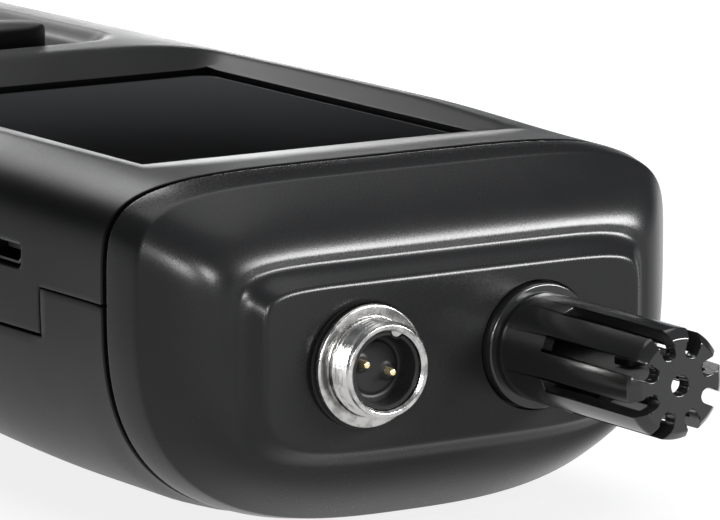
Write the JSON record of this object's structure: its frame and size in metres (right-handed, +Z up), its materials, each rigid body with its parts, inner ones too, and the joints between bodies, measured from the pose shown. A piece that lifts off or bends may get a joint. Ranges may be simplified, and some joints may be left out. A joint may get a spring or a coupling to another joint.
{
  "type": "handheld weather meter",
  "caption": "Handheld weather meter: moulded body with display and keys, and an end cap with a threaded probe socket and a slotted air-sensor cage.",
  "frame": {"origin": "on the resting surface, under the middle of the object's box", "axes": "+Z up out of the display, +Y from the sensor end to the tail, +X to the right when seen from the sensor end"},
  "size_m": [0.08, 0.2302, 0.0475],
  "materials": {
    "case_black": "satin moulded ABS, fine spark-eroded grain",
    "cap_black": "semi-gloss moulded ABS",
    "insert_black": "moulded insulator",
    "rubber_black": "matt rubber",
    "window_black": "polished acrylic",
    "nickel": "nickel plate with turning marks",
    "steel": "plain steel",
    "contact_gold": "plated contact",
    "circuit_board": "solder mask",
    "ribbon": "flat cable",
    "cell_wrap": "pouch foil",
    "wire": "insulated wire"
  },
  "bodies": {
    "meter": {"upper_shell": "case_black", "lower_shell": "case_black", "end_cap": "cap_black", "end_cap_seal": "rubber_black", "display_window": "window_black", "display_module": "steel", "display_frame": "case_black", "display_ribbon": "ribbon", "keypad_mat": "rubber_black", "keypad_board": "circuit_board", "main_board": "circuit_board", "board_screw_1": "steel", "board_screw_2": "steel", "board_screw_3": "steel", "board_screw_4": "steel", "case_screw_1": "steel", "case_screw_2": "steel", "case_screw_3": "steel", "case_screw_4": "steel", "battery": "cell_wrap", "battery_lead": "wire", "connector_lead": "wire", "sensor_lead": "wire", "usb_socket": "steel", "usb_tongue": "insert_black", "connector_shell": "nickel", "connector_insert": "insert_black", "connector_pin_left": "contact_gold", "connector_pin_right": "contact_gold", "connector_washer": "rubber_black", "connector_nut": "steel", "sensor_collar": "cap_black", "sensor_nut": "steel", "sensor_cage": "cap_black", "sensor_board": "circuit_board", "sensor_chip": "steel"},
    "key_soft_left": {"key_soft_left": "rubber_black"},
    "key_soft_right": {"key_soft_right": "rubber_black"},
    "key_up": {"key_up": "rubber_black"},
    "key_down": {"key_down": "rubber_black"},
    "key_left": {"key_left": "rubber_black"},
    "key_right": {"key_right": "rubber_black"},
    "key_ok": {"key_ok": "rubber_black"},
    "key_power": {"key_power": "rubber_black"}
  },
  "joints": [
    {"name": "soft_left_press", "type": "slide", "parent": "meter", "child": "key_soft_left", "axis": [0, 0, -1], "range_m": [0, 0.0008], "stiffness_N_per_m": 1500},
    {"name": "soft_right_press", "type": "slide", "parent": "meter", "child": "key_soft_right", "axis": [0, 0, -1], "range_m": [0, 0.0008], "stiffness_N_per_m": 1500},
    {"name": "up_press", "type": "slide", "parent": "meter", "child": "key_up", "axis": [0, 0, -1], "range_m": [0, 0.0008], "stiffness_N_per_m": 1500},
    {"name": "down_press", "type": "slide", "parent": "meter", "child": "key_down", "axis": [0, 0, -1], "range_m": [0, 0.0008], "stiffness_N_per_m": 1500},
    {"name": "left_press", "type": "slide", "parent": "meter", "child": "key_left", "axis": [0, 0, -1], "range_m": [0, 0.0008], "stiffness_N_per_m": 1500},
    {"name": "right_press", "type": "slide", "parent": "meter", "child": "key_right", "axis": [0, 0, -1], "range_m": [0, 0.0008], "stiffness_N_per_m": 1500},
    {"name": "ok_press", "type": "slide", "parent": "meter", "child": "key_ok", "axis": [0, 0, -1], "range_m": [0, 0.0008], "stiffness_N_per_m": 1500},
    {"name": "power_press", "type": "slide", "parent": "meter", "child": "key_power", "axis": [0, 0, -1], "range_m": [0, 0.0008], "stiffness_N_per_m": 1500}
  ]
}
